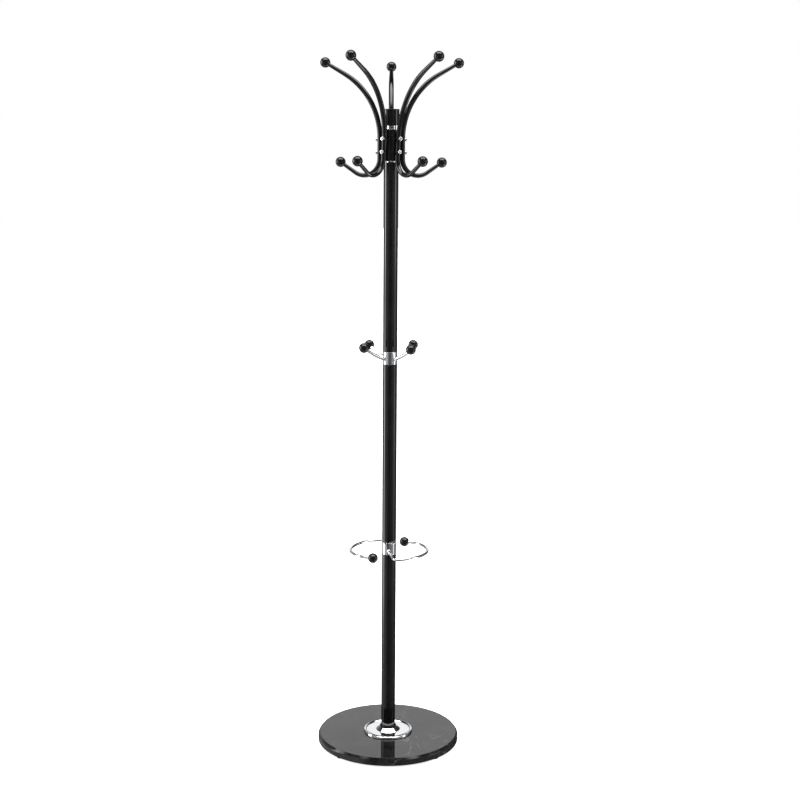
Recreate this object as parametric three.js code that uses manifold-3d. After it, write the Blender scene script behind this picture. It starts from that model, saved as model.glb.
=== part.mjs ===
// Standing coat rack: a marble base, a pole of three screwed steel tubes, two fixed tiers of
// chromed rods (umbrella rings and middle hooks) and a swivelling crown of five double hooks.
// Millimetres, +Z up. The origin is on the floor, on the pole's axis; the front is towards -Y.
import * as THREE from 'three';
import { mergeVertices } from 'three/addons/utils/BufferGeometryUtils.js';
import Module from 'manifold-3d';

const wasm = await Module();
wasm.setup();

// ---- Driving dimensions ----------------------------------------------------------------

const GAP = 0.3; // clearance between pieces that touch

const BASE_RADIUS = 190;
const BASE_THICKNESS = 20.6;
const BASE_BEVEL = { width: 4.8, height: 6 };
const FOOT_HEIGHT = 5;
const FOOT_RADIUS = 12.5;
const FOOT_INSET = 15.5; // from the marble's rim to a foot's centre

const POLE_RADIUS = 19;
const POLE_WALL = 1.5;
const POLE_SIDES = 24; // facets round everything turned about the pole's axis, base and dish apart
const PLUG_THICKNESS = 12; // threaded insert welded into a tube's end
const STUD_RADIUS = 6;
const COLLAR_BORE = 16;

const CROWN_RADIUS = 20.5; // sleeve and top tube, a size up from the pole
const CROWN_WALL = 2;
const SPINDLE_RADIUS = 8;
const BUSH_LINER = 12; // outer radius of the bush between its two flanges
const NECK_RADIUS = 12.4; // the trim rings' crests, well inside the sleeve and tubes
const NECK_ROUND = 1.5; // how far their beads stand out

// Heights of the pieces stacked on the marble, from the bottom up.
const STACK = {
  lower_tube: 498,
  umbrella_collar: 33,
  middle_tube: 479,
  hook_collar: 33,
  upper_tube: 486.5,
  crown_lower_ring: 4.6,
  crown_sleeve: 78.6,
  crown_upper_ring: 11.6,
  top_tube: 37.4,
  top_cap: 2.8,
};

const BALL_RADIUS = 13.2;
const BALL_BORE_FLOOR = 1; // from the ball's centre back to the floor of its bore

// Crown hooks: one bent tube each, straight against the sleeve, a long arm above and a short one below.
const HOOK_COUNT = 5;
const HOOK_FIRST_AZIMUTH = 18; // degrees from +X
const HOOK_LEANS = [0, 0.5, -1, 3, 3.1]; // degrees that each hook leans from upright, as screwed on
const HOOK_TUBE_RADIUS = 6.5;
const HOOK_TUBE_WALL = 1.2;
const HOOK_STRAIGHT = { from: 1565.5, to: 1614 };
const UPPER_BEND = { radius: 189.6, turn: 60.7, sections: 7 };
const UPPER_ARM = 62;
const LOWER_BEND = { radius: 42, turn: 90, sections: 5 };
const LOWER_RISE = { radius: 45.5, turn: 33.5, sections: 2 };
const LOWER_ARM = 48;
const SWAGE = { upper: 100, lower: 120, neck: 13, ratio: 0.72 }; // tube ends drawn down to meet the balls
const BOSS = { radius: 5.5, height: 3.5, saddle: 2 }; // spacers on the sleeve, hollowed to seat the hooks

const SCREW_HEIGHTS = [1582, 1615];
const SCREW = { head: 4.9, headHeight: 3.5, washer: 0.9, shank: 3, socket: 1.9, socketDepth: 2 };
const SCREW_TIP = 16.6; // distance of the screw's tip from the pole's axis

// Middle hooks: chromed rods welded to the hook collar.
const MIDDLE_HOOKS = [ // as welded: azimuth, and how much steeper than the nominal slope
  { azimuth: 44, steeper: -1.2 },
  { azimuth: 131, steeper: -2.4 },
  { azimuth: 216, steeper: 1.6 },
  { azimuth: 310, steeper: 0 },
];
const MIDDLE_ROD_RADIUS = 4.5;
const MIDDLE_START_DROP = 2.3; // below the collar's middle
const MIDDLE_START_SLOPE = 16; // degrees
const MIDDLE_BEND = { radius: 221, turn: 18.8, sections: 4 };

// Umbrella rings: a leg out from the collar, a tight bend, then an arc round the pole.
const RING_HEIGHT = 534;
const RING_ROD_RADIUS = 4;
const RING_LEG = { azimuth: 267, heading: 280, length: 70.5, bend: 15 };
const RING_ARC = { radius: 102.5, turn: 97, sections: 8 }; // concentric with the pole
const RING_CLOSING = { radius: 70, turn: 44, sections: 4 };
const RING_STRAIGHT = 14; // the end inside the ball

// ---- Materials -------------------------------------------------------------------------

const finish = (color, roughness, metalness) =>
  new THREE.MeshStandardMaterial({ color, roughness, metalness });

const blackEnamel = finish(0x0b0b0d, 0.14, 0.1);
const chrome = finish(0xe4e6ea, 0.06, 1);
const marble = finish(0x17181a, 0.1, 0);
const blackPlastic = finish(0x070708, 0.12, 0);
const rubber = finish(0x141414, 0.85, 0);
const zincSteel = finish(0xb4b8bd, 0.32, 1);
const nylon = finish(0xe9e7df, 0.5, 0);

// ---- Helpers ---------------------------------------------------------------------------

const radians = THREE.MathUtils.degToRad;
const rack = new THREE.Group();
const crown = new THREE.Group(); // everything that swivels together
rack.add(crown);

function addPiece(name, geometry, material, parent = rack) {
  const mesh = new THREE.Mesh(geometry, material);
  mesh.name = name;
  parent.add(mesh);
  return mesh;
}

// A solid of revolution about Y from [radius, height] pairs.
function spun(profile, segments) {
  return new THREE.LatheGeometry(profile.map(([r, h]) => new THREE.Vector2(r, h)), segments);
}

// The same, about Z.
const turned = (profile, segments) => spun(profile, segments).rotateX(Math.PI / 2);

// A ring-shaped solid of revolution about Z, whose profile closes on itself.
const turnedRing = (profile, segments) => turned([...profile, profile[0]], segments);

// A cylinder along +X, centred on the origin, used to drill radial holes.
const drill = (radius, length, sides) =>
  new THREE.CylinderGeometry(radius, radius, length, sides).rotateZ(-Math.PI / 2);

function toManifold(geometry) {
  const bare = geometry.clone();
  bare.deleteAttribute('normal');
  bare.deleteAttribute('uv');
  const merged = mergeVertices(bare, 1e-4);
  const corners = merged.index.array;
  const triangles = [];
  for (let i = 0; i < corners.length; i += 3) {
    const [a, b, c] = corners.slice(i, i + 3);
    if (a !== b && b !== c && c !== a) triangles.push(a, b, c);
  }
  const vertProperties = new Float32Array(merged.attributes.position.array);
  const triVerts = new Uint32Array(triangles);
  return new wasm.Manifold(new wasm.Mesh({ numProp: 3, vertProperties, triVerts }));
}

// Joins or cuts geometries; operation is 'add' or 'subtract'.
function combine(operation, geometry, others) {
  const solid = others.reduce((body, other) => body[operation](toManifold(other)), toManifold(geometry));
  const mesh = solid.getMesh();
  const result = new THREE.BufferGeometry();
  result.setAttribute('position', new THREE.BufferAttribute(mesh.vertProperties, 3));
  result.setIndex(new THREE.BufferAttribute(mesh.triVerts, 1));
  result.computeVertexNormals();
  return result;
}

const fuse = (geometry, ...others) => combine('add', geometry, others);
const cut = (geometry, ...tools) => combine('subtract', geometry, tools);

// A flat path of straight lines and arcs. Each move is either { length } or { radius, turn,
// sections }, where turn is in degrees and positive to the left, and sections is how many
// equal steps a sweep takes round that bend.
class BentPath extends THREE.Curve {
  constructor(start, heading, moves, embed) {
    super();
    this.embed = embed;
    this.moves = [];
    this.stations = [0];
    this.total = 0;
    let position = new THREE.Vector2(...start);
    let angle = radians(heading);
    for (const { length, radius, turn = 0, sections = 1 } of moves) {
      const bend = radians(turn);
      const move = { from: this.total, position, angle, bend, radius };
      move.length = length ?? radius * Math.abs(bend);
      this.moves.push(move);
      for (let i = 1; i <= sections; i++) this.stations.push(this.total + (move.length * i) / sections);
      this.total += move.length;
      position = this.along(move, move.length);
      angle += bend;
    }
    this.endAngle = angle;
  }

  get steps() {
    return this.stations.length - 1;
  }

  // Even steps of u land on the stations.
  getUtoTmapping(u) {
    const index = Math.min(Math.floor(u * this.steps + 1e-9), this.steps - 1);
    const [from, to] = this.stations.slice(index, index + 2);
    return (from + (to - from) * (u * this.steps - index)) / this.total;
  }

  along({ position, angle, bend, radius, length }, distance) {
    if (!bend) {
      const step = new THREE.Vector2(Math.cos(angle), Math.sin(angle));
      return position.clone().addScaledVector(step, distance);
    }
    const side = Math.sign(bend) * radius;
    const centre = new THREE.Vector2(-Math.sin(angle), Math.cos(angle)).multiplyScalar(side).add(position);
    return position.clone().rotateAround(centre, (bend * distance) / length);
  }

  getPoint(t, target = new THREE.Vector3()) {
    const distance = t * this.total;
    const move = this.moves.findLast((candidate) => candidate.from <= distance);
    const { x, y } = this.along(move, distance - move.from);
    return target.copy(this.embed(x, y));
  }
}

// A round rod, or a tube if an inner radius is given, along a path.
function rodAlong(path, radius, innerRadius = 0) {
  const section = new THREE.Shape().absarc(0, 0, radius, 0, 2 * Math.PI);
  if (innerRadius) section.holes.push(new THREE.Path().absarc(0, 0, innerRadius, 0, 2 * Math.PI, true));
  return new THREE.ExtrudeGeometry(section, { steps: path.steps, extrudePath: path, curveSegments: 4 });
}

// Draws both ends of a swept tube down to a smaller diameter: a taper, then a parallel neck.
function swage(geometry, path) {
  const drawn = (distance, length) =>
    THREE.MathUtils.clamp((length - distance) / (length - SWAGE.neck), 0, 1);
  const sections = path.stations.map((distance) => {
    const amount = Math.max(drawn(distance, SWAGE.lower), drawn(path.total - distance, SWAGE.upper));
    return { centre: path.getPoint(distance / path.total), scale: 1 - (1 - SWAGE.ratio) * amount };
  });
  const positions = geometry.attributes.position;
  const vertex = new THREE.Vector3();
  for (let i = 0; i < positions.count; i++) {
    vertex.fromBufferAttribute(positions, i);
    const { centre, scale } = sections.reduce((best, section) =>
      (vertex.distanceTo(section.centre) < vertex.distanceTo(best.centre) ? section : best));
    vertex.sub(centre).multiplyScalar(scale).add(centre);
    positions.setXYZ(i, vertex.x, vertex.y, vertex.z);
  }
}

// A ball about the origin with a blind bore facing -Y for the end of its rod.
function ballGeometry(boreRadius) {
  const sides = 12;
  const arcSteps = 6;
  const lip = Math.asin(boreRadius / BALL_RADIUS);
  const profile = [[0, -BALL_BORE_FLOOR], [boreRadius, -BALL_BORE_FLOOR]];
  for (let i = 0; i <= arcSteps; i++) {
    const angle = lip + ((Math.PI - lip) * i) / arcSteps;
    profile.push([i === arcSteps ? 0 : BALL_RADIUS * Math.sin(angle), -BALL_RADIUS * Math.cos(angle)]);
  }
  return spun(profile, sides);
}

function addBall(name, centre, outward, rodRadius, parent) {
  const ball = addPiece(name, ballGeometry(rodRadius + 2 * GAP), blackPlastic, parent);
  ball.position.copy(centre);
  ball.quaternion.setFromUnitVectors(new THREE.Vector3(0, 1, 0), outward);
}

// A tube of the pole, with a threaded insert in each end that is given a hole radius.
function plugged(from, to, radius, wall, bottomHole, topHole) {
  const inner = radius - wall;
  const insertTop = from + PLUG_THICKNESS;
  const insertBottom = to - PLUG_THICKNESS;
  const topEnd = topHole ? [[topHole, to], [topHole, insertBottom], [inner, insertBottom]] : [[inner, to]];
  const bottomEnd = bottomHole
    ? [[inner, insertTop], [bottomHole, insertTop], [bottomHole, from]]
    : [[inner, from]];
  return turnedRing([[radius, from], [radius, to], ...topEnd, ...bottomEnd], POLE_SIDES);
}

// ---- Levels ----------------------------------------------------------------------------

const marbleTop = FOOT_HEIGHT + BASE_THICKNESS;
const span = {};
let level = marbleTop;
for (const [name, height] of Object.entries(STACK)) {
  span[name] = { from: level + GAP, to: level + height };
  level += height;
}

// ---- Base: marble, rubber feet, chrome dish, bolt and washer ----------------------------

const BOLT = { radius: 5, head: 9.8, headHeight: 6, hole: 7, tip: 54 };
const WASHER = { radius: 18, hole: 5.5, thickness: 1.8 };
const RECESS = { radius: 24, top: FOOT_HEIGHT + 9.5 };

function addBase() {
  const bevelStart = marbleTop - BASE_BEVEL.height;
  addPiece('marble_base', turnedRing([
    [BOLT.hole, RECESS.top],
    [RECESS.radius, RECESS.top],
    [RECESS.radius, FOOT_HEIGHT],
    [BASE_RADIUS, FOOT_HEIGHT],
    [BASE_RADIUS, bevelStart],
    [BASE_RADIUS - BASE_BEVEL.width, marbleTop],
    [BOLT.hole, marbleTop],
  ], 48), marble);

  for (let i = 0; i < 4; i++) {
    const foot = new THREE.CylinderGeometry(FOOT_RADIUS, FOOT_RADIUS, FOOT_HEIGHT - GAP, 12);
    const mesh = addPiece(`foot_${i + 1}`, foot.rotateX(Math.PI / 2), rubber);
    const azimuth = radians(45 + 90 * i);
    const reach = BASE_RADIUS - FOOT_INSET;
    mesh.position.set(reach * Math.cos(azimuth), reach * Math.sin(azimuth), (FOOT_HEIGHT - GAP) / 2);
  }

  const washerTop = RECESS.top - GAP;
  const washerBottom = washerTop - WASHER.thickness;
  addPiece('base_washer', turnedRing([
    [WASHER.hole, washerBottom],
    [WASHER.radius, washerBottom],
    [WASHER.radius, washerTop],
    [WASHER.hole, washerTop],
  ], POLE_SIDES), zincSteel);

  const headTop = washerBottom - GAP;
  const headBottom = headTop - BOLT.headHeight;
  const roundBolt = turned([
    [0, headBottom],
    [WASHER.radius, headBottom],
    [WASHER.radius, headTop],
    [BOLT.radius, headTop],
    [BOLT.radius, BOLT.tip],
    [0, BOLT.tip],
  ], 12);
  addPiece('base_bolt', cut(roundBolt, hexagonFrame((headTop + headBottom) / 2)), zincSteel);
}

// A ring whose inside is a hexagon, used to trim the bolt's round head to six flats.
function hexagonFrame(height) {
  const outline = new THREE.Shape().absarc(0, 0, 2 * WASHER.radius, 0, 2 * Math.PI);
  const corners = Array.from({ length: 6 }, (_, i) => new THREE.Vector2(
    BOLT.head * Math.cos(radians(-60 * i)), BOLT.head * Math.sin(radians(-60 * i))));
  outline.holes.push(new THREE.Path(corners));
  const depth = BOLT.headHeight + 2;
  return new THREE.ExtrudeGeometry(outline, { depth, bevelEnabled: false, curveSegments: 8 })
    .translate(0, 0, height - depth / 2);
}

// The dish is pressed from sheet: a boss round the pole, a flat floor, a groove and a rolled rim.
const DISH = {
  floor: marbleTop + 4,
  boss: marbleTop + 12.1,
  rim: marbleTop + 5.9,
  rimRadius: 66.4,
  sheet: 1.6,
};

function addDish() {
  const bore = POLE_RADIUS + GAP;
  const { floor, boss, rim, rimRadius, sheet } = DISH;
  const seat = marbleTop + GAP;
  addPiece('base_dish', turnedRing([
    [bore, boss - sheet],
    [22, boss - sheet],
    [31.7, floor - sheet],
    [56.5, floor - sheet],
    [59.2, seat],
    [rimRadius, seat],
    [rimRadius - 0.9, rim - 1],
    [rimRadius - 2.6, rim],
    [60.4, floor + 0.6],
    [58.2, floor - 0.8],
    [55.6, floor],
    [32.5, floor],
    [22.8, boss],
    [bore, boss],
  ], 36), chrome);

  const foot = boss + GAP;
  addPiece('pole_foot_ring', turnedRing([
    [bore, foot],
    [22.2, foot],
    [22.2, foot + 2.2],
    [20.4, foot + 4.6],
    [bore, foot + 4.6],
  ], POLE_SIDES), rubber);
}

// ---- Pole: three tubes, two collars and the studs that join them ------------------------

function addPole() {
  const thread = STUD_RADIUS + GAP;
  const boltThread = BOLT.radius + GAP;
  for (const name of ['lower_tube', 'middle_tube', 'upper_tube']) {
    const { from, to } = span[name];
    const bottomHole = name === 'lower_tube' ? boltThread : thread;
    addPiece(name, plugged(from, to, POLE_RADIUS, POLE_WALL, bottomHole, thread), blackEnamel);
  }
  for (const name of ['umbrella_collar', 'hook_collar']) {
    const { from, to } = span[name];
    addPiece(name, turnedRing([
      [COLLAR_BORE, from],
      [POLE_RADIUS - 0.5, from],
      [POLE_RADIUS, from + 0.5],
      [POLE_RADIUS, to - 0.5],
      [POLE_RADIUS - 0.5, to],
      [COLLAR_BORE, to],
    ], POLE_SIDES), chrome);
    const reach = PLUG_THICKNESS - 1.5;
    const stud = new THREE.CylinderGeometry(STUD_RADIUS, STUD_RADIUS, to - from + 2 * reach, 16);
    const mesh = addPiece(name.replace('collar', 'joint_stud'), stud.rotateX(Math.PI / 2), zincSteel);
    mesh.position.z = (from + to) / 2;
  }
}

// ---- Crown: spindle and trim rings on the pole, sleeve and bush that turn ----------------

function addCrownCore() {
  const lower = span.crown_lower_ring;
  const sleeve = span.crown_sleeve;
  const upper = span.crown_upper_ring;
  const top = span.top_tube;
  const bore = SPINDLE_RADIUS + GAP;

  addPiece('crown_spindle', turned([
    [0, lower.from - PLUG_THICKNESS],
    [STUD_RADIUS, lower.from - PLUG_THICKNESS],
    [STUD_RADIUS, lower.from],
    [SPINDLE_RADIUS, lower.from],
    [SPINDLE_RADIUS, upper.to],
    [STUD_RADIUS, upper.to],
    [STUD_RADIUS, upper.to + PLUG_THICKNESS + 3],
    [0, upper.to + PLUG_THICKNESS + 3],
  ], POLE_SIDES), zincSteel);

  addPiece('crown_lower_ring', turnedRing([
    [bore, lower.from],
    [NECK_RADIUS - NECK_ROUND / 2, lower.from],
    [NECK_RADIUS, (lower.from + lower.to) / 2],
    [NECK_RADIUS - NECK_ROUND / 2, lower.to],
    [bore, lower.to],
  ], POLE_SIDES), chrome);

  // Two rounded beads with a groove between them.
  const bead = (upper.to - upper.from) / 4;
  const beads = [upper.from + bead, upper.to - bead].flatMap((middle) =>
    [-75, -25, 25, 75].map(radians).map((turn) => [
      NECK_RADIUS - NECK_ROUND + NECK_ROUND * Math.cos(turn),
      middle + bead * Math.sin(turn),
    ]));
  beads.unshift([bore, upper.from]);
  beads.push([bore, upper.to]);
  addPiece('crown_upper_ring', turnedRing(beads, POLE_SIDES), chrome);

  const topTube = plugged(top.from, top.to, CROWN_RADIUS, CROWN_WALL, STUD_RADIUS + GAP, 0);
  addPiece('top_tube', topTube, blackEnamel);
  const cap = span.top_cap;
  const plug = CROWN_RADIUS - CROWN_WALL - GAP;
  addPiece('top_cap', turned([
    [0, cap.from - 9],
    [plug, cap.from - 9],
    [plug, cap.from],
    [CROWN_RADIUS + 0.8, cap.from],
    [CROWN_RADIUS + 0.8, cap.to - 0.9],
    [CROWN_RADIUS - 0.1, cap.to],
    [0, cap.to],
  ], POLE_SIDES), blackPlastic);

  const flange = CROWN_RADIUS - CROWN_WALL - GAP;
  const lip = 8;
  addPiece('swivel_bush', turnedRing([
    [bore, sleeve.from],
    [flange, sleeve.from],
    [flange, sleeve.from + lip],
    [BUSH_LINER, sleeve.from + lip],
    [BUSH_LINER, sleeve.to - lip],
    [flange, sleeve.to - lip],
    [flange, sleeve.to],
    [bore, sleeve.to],
  ], POLE_SIDES), nylon, crown);

  const shell = plugged(sleeve.from, sleeve.to, CROWN_RADIUS, CROWN_WALL, 0, 0);
  const atHooks = (makeTools) => hookPlaces().flatMap((place) =>
    makeTools().map((tool) => tool.applyMatrix4(place)));
  const bossed = fuse(shell, ...atHooks(bosses));
  addPiece('crown_sleeve', cut(bossed, ...atHooks(() => screwHoles(CROWN_RADIUS))), blackEnamel, crown);
}

// ---- Crown hooks ------------------------------------------------------------------------

const hookReach = CROWN_RADIUS + BOSS.height + HOOK_TUBE_RADIUS; // from the axis to the straight stretch
const screwMiddle = (SCREW_HEIGHTS[0] + SCREW_HEIGHTS[1]) / 2;

// Each hook stands in its own XZ plane; this puts it at its azimuth, leaning about its screws.
function hookPlaces() {
  return HOOK_LEANS.slice(0, HOOK_COUNT).map((lean, i) => {
    const azimuth = radians(HOOK_FIRST_AZIMUTH + (360 / HOOK_COUNT) * i);
    return new THREE.Matrix4().makeRotationZ(azimuth)
      .multiply(new THREE.Matrix4().makeTranslation(0, 0, screwMiddle))
      .multiply(new THREE.Matrix4().makeRotationX(-radians(lean)))
      .multiply(new THREE.Matrix4().makeTranslation(0, 0, -screwMiddle));
  });
}

const screwHoles = (reach) => SCREW_HEIGHTS.map((height) =>
  drill(SCREW.shank + GAP, 4 * HOOK_TUBE_RADIUS, 8).translate(reach, 0, height));

// The two spacers of a hook, each hollowed by the tube that it carries.
function bosses() {
  const root = CROWN_RADIUS - 0.6 * CROWN_WALL;
  const end = CROWN_RADIUS + BOSS.height + BOSS.saddle;
  const seat = HOOK_TUBE_RADIUS + 2 * GAP;
  const hollow = new THREE.CylinderGeometry(seat, seat, 4 * BOSS.radius, 12).rotateX(Math.PI / 2)
    .translate(hookReach, 0, 0);
  const boss = cut(drill(BOSS.radius, end - root, 12).translate((root + end) / 2, 0, 0), hollow);
  return SCREW_HEIGHTS.map((height) => boss.clone().translate(0, 0, height));
}

function screwGeometry() {
  const seat = hookReach + HOOK_TUBE_RADIUS + SCREW.washer;
  const face = seat + SCREW.headHeight;
  const body = spun([
    [0, SCREW_TIP],
    [SCREW.shank, SCREW_TIP],
    [SCREW.shank, seat],
    [SCREW.head, seat],
    [SCREW.head, face],
    [0, face],
  ], 8).rotateZ(-Math.PI / 2);
  return cut(body, drill(SCREW.socket, 2 * SCREW.socketDepth, 6).translate(face, 0, 0));
}

function addCrownHooks() {
  const rise = radians(LOWER_RISE.turn);
  const inset = BALL_BORE_FLOOR + GAP; // the tube stops just short of the bore's floor
  const arm = LOWER_ARM - inset;
  const lowerOut = new THREE.Vector3(Math.cos(rise), 0, Math.sin(rise));
  const path = new BentPath(
    [
      hookReach + LOWER_BEND.radius + LOWER_RISE.radius * Math.sin(rise) + arm * lowerOut.x,
      HOOK_STRAIGHT.from - LOWER_BEND.radius + LOWER_RISE.radius * (1 - Math.cos(rise)) + arm * lowerOut.z,
    ],
    180 + LOWER_RISE.turn,
    [
      { length: SWAGE.neck },
      { length: arm - SWAGE.neck },
      { ...LOWER_RISE, turn: -LOWER_RISE.turn },
      { ...LOWER_BEND, turn: -LOWER_BEND.turn },
      { length: HOOK_STRAIGHT.to - HOOK_STRAIGHT.from },
      { ...UPPER_BEND, turn: -UPPER_BEND.turn },
      { length: UPPER_ARM - inset - SWAGE.neck },
      { length: SWAGE.neck },
    ],
    (r, z) => new THREE.Vector3(r, 0, z),
  );
  const upperOut = new THREE.Vector3(Math.cos(path.endAngle), 0, Math.sin(path.endAngle));
  const lowerCentre = path.getPoint(0).addScaledVector(lowerOut, inset);
  const upperCentre = path.getPoint(1).addScaledVector(upperOut, inset);

  const tube = rodAlong(path, HOOK_TUBE_RADIUS, HOOK_TUBE_RADIUS - HOOK_TUBE_WALL);
  swage(tube, path);
  const drilled = cut(tube, ...screwHoles(hookReach));
  const screw = screwGeometry();
  const neck = HOOK_TUBE_RADIUS * SWAGE.ratio;

  hookPlaces().forEach((place, i) => {
    const group = new THREE.Group();
    group.applyMatrix4(place);
    crown.add(group);
    addPiece(`crown_hook_${i + 1}`, drilled, blackEnamel, group);
    SCREW_HEIGHTS.forEach((height, j) => {
      addPiece(`hook_screw_${i + 1}${'ab'[j]}`, screw, zincSteel, group).position.z = height;
    });
    addBall(`lower_ball_${i + 1}`, lowerCentre, lowerOut, neck, group);
    addBall(`upper_ball_${i + 1}`, upperCentre, upperOut, neck, group);
  });
}

// ---- Fixed tiers -------------------------------------------------------------------------

// The collar's outside as a cutter, so that a rod's end fits round it.
const collarCutter = (height) =>
  new THREE.CylinderGeometry(POLE_RADIUS + GAP, POLE_RADIUS + GAP, 60, POLE_SIDES).rotateX(Math.PI / 2)
    .translate(0, 0, height);

function addMiddleHooks() {
  const { from, to } = span.hook_collar;
  const middle = (from + to) / 2;
  MIDDLE_HOOKS.forEach(({ azimuth, steeper }, i) => {
    const path = new BentPath(
      [POLE_RADIUS - 1.5, middle - MIDDLE_START_DROP],
      MIDDLE_START_SLOPE + steeper,
      [MIDDLE_BEND],
      (r, z) => new THREE.Vector3(r, 0, z),
    );
    const outward = new THREE.Vector3(Math.cos(path.endAngle), 0, Math.sin(path.endAngle));
    const group = new THREE.Group();
    group.rotation.z = radians(azimuth);
    rack.add(group);
    const cutter = collarCutter(middle).rotateZ(-group.rotation.z);
    addPiece(`middle_hook_${i + 1}`, cut(rodAlong(path, MIDDLE_ROD_RADIUS), cutter), chrome, group);
    const centre = path.getPoint(1).addScaledVector(outward, BALL_BORE_FLOOR + GAP);
    addBall(`middle_ball_${i + 1}`, centre, outward, MIDDLE_ROD_RADIUS, group);
  });
}

function addUmbrellaRings() {
  const legStart = radians(RING_LEG.azimuth);
  const start = [(POLE_RADIUS - 2) * Math.cos(legStart), (POLE_RADIUS - 2) * Math.sin(legStart)];
  // The bend's centre lies on the ring's own circle less the bend's radius, so the two meet smoothly.
  const heading = radians(RING_LEG.heading);
  const legEnd = [
    start[0] + RING_LEG.length * Math.cos(heading),
    start[1] + RING_LEG.length * Math.sin(heading),
  ];
  const bendCentre = new THREE.Vector2(
    legEnd[0] - RING_LEG.bend * Math.sin(heading),
    legEnd[1] + RING_LEG.bend * Math.cos(heading),
  );
  const meeting = THREE.MathUtils.radToDeg(bendCentre.angle());
  const path = new BentPath(start, RING_LEG.heading, [
    { length: RING_LEG.length },
    { radius: RING_LEG.bend, turn: meeting + 90 - RING_LEG.heading, sections: 6 },
    RING_ARC,
    RING_CLOSING,
    { length: RING_STRAIGHT },
  ], (x, y) => new THREE.Vector3(x, y, RING_HEIGHT));
  const outward = new THREE.Vector3(Math.cos(path.endAngle), Math.sin(path.endAngle), 0);
  const ring = cut(rodAlong(path, RING_ROD_RADIUS), collarCutter(RING_HEIGHT));
  for (const i of [0, 1]) {
    const group = new THREE.Group();
    group.rotation.z = Math.PI * i;
    rack.add(group);
    addPiece(`umbrella_ring_${i + 1}`, ring, chrome, group);
    const centre = path.getPoint(1).addScaledVector(outward, BALL_BORE_FLOOR + GAP);
    addBall(`umbrella_ball_${i + 1}`, centre, outward, RING_ROD_RADIUS, group);
  }
}

addBase();
addDish();
addPole();
addCrownCore();
addCrownHooks();
addMiddleHooks();
addUmbrellaRings();

export default rack;
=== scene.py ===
import cmath
import math

import bmesh
import bpy
from mathutils import Matrix, Vector


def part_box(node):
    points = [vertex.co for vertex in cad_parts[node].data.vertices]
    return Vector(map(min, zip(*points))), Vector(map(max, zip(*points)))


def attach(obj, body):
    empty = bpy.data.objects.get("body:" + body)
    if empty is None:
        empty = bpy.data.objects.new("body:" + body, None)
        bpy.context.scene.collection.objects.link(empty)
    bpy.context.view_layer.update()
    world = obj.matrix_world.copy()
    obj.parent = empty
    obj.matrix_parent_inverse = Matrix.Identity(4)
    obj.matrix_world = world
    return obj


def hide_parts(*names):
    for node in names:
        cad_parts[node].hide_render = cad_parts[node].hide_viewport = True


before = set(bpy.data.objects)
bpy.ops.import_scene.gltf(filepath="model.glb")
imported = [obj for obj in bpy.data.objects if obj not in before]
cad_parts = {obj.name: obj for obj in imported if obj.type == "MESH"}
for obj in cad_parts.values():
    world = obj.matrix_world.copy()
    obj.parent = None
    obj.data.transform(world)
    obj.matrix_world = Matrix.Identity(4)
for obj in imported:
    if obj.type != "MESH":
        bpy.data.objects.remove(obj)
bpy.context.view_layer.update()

# Standing coat rack, the visual model: every CAD piece is rebuilt here as a fine mesh.
# Metres, +Z up, the pole's axis on Z and the front towards -Y, as in the CAD frame.

MM = 0.001
TAU = 2 * math.pi
FIT_GAP = 0.3 * MM  # clearance between pieces that touch
SMOOTH_LIMIT = math.radians(28)  # sharper edges than this stay sharp
ARC_STEP = math.radians(9)

# ---- Places read from the frame ----------------------------------------------------------


def heights(node):
    """Lowest and highest z of a CAD node."""
    low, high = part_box(node)
    return low.z, high.z


def half_width(node):
    """Outer radius of a CAD node that is turned about an upright axis."""
    low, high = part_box(node)
    return (high.x - low.x) / 2


def middle_height(node):
    return sum(heights(node)) / 2


POLE_RADIUS = half_width("lower_tube")
CROWN_RADIUS = half_width("top_tube")
MARBLE_BOTTOM, MARBLE_TOP = heights("marble_base")

# ---- Camera ------------------------------------------------------------------------------

CAMERA_PLACE = Vector((0.0268, -3.5393, 1.5113))
CAMERA_PITCH = math.radians(9.162)  # downwards
CAMERA_ROLL = math.radians(0.387)
CAMERA_LENS = 61.29
CAMERA_SENSOR = 36


def add_camera():
    data = bpy.data.cameras.new("camera")
    data.lens = CAMERA_LENS
    data.sensor_width = CAMERA_SENSOR
    camera = bpy.data.objects.new("camera", data)
    bpy.context.scene.collection.objects.link(camera)
    level = Matrix.Rotation(math.pi / 2 - CAMERA_PITCH, 4, "X")
    roll = Matrix.Rotation(CAMERA_ROLL, 4, "Z")
    camera.matrix_world = Matrix.Translation(CAMERA_PLACE) @ level @ roll
    bpy.context.scene.camera = camera


# ---- Node helpers ------------------------------------------------------------------------


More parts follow.
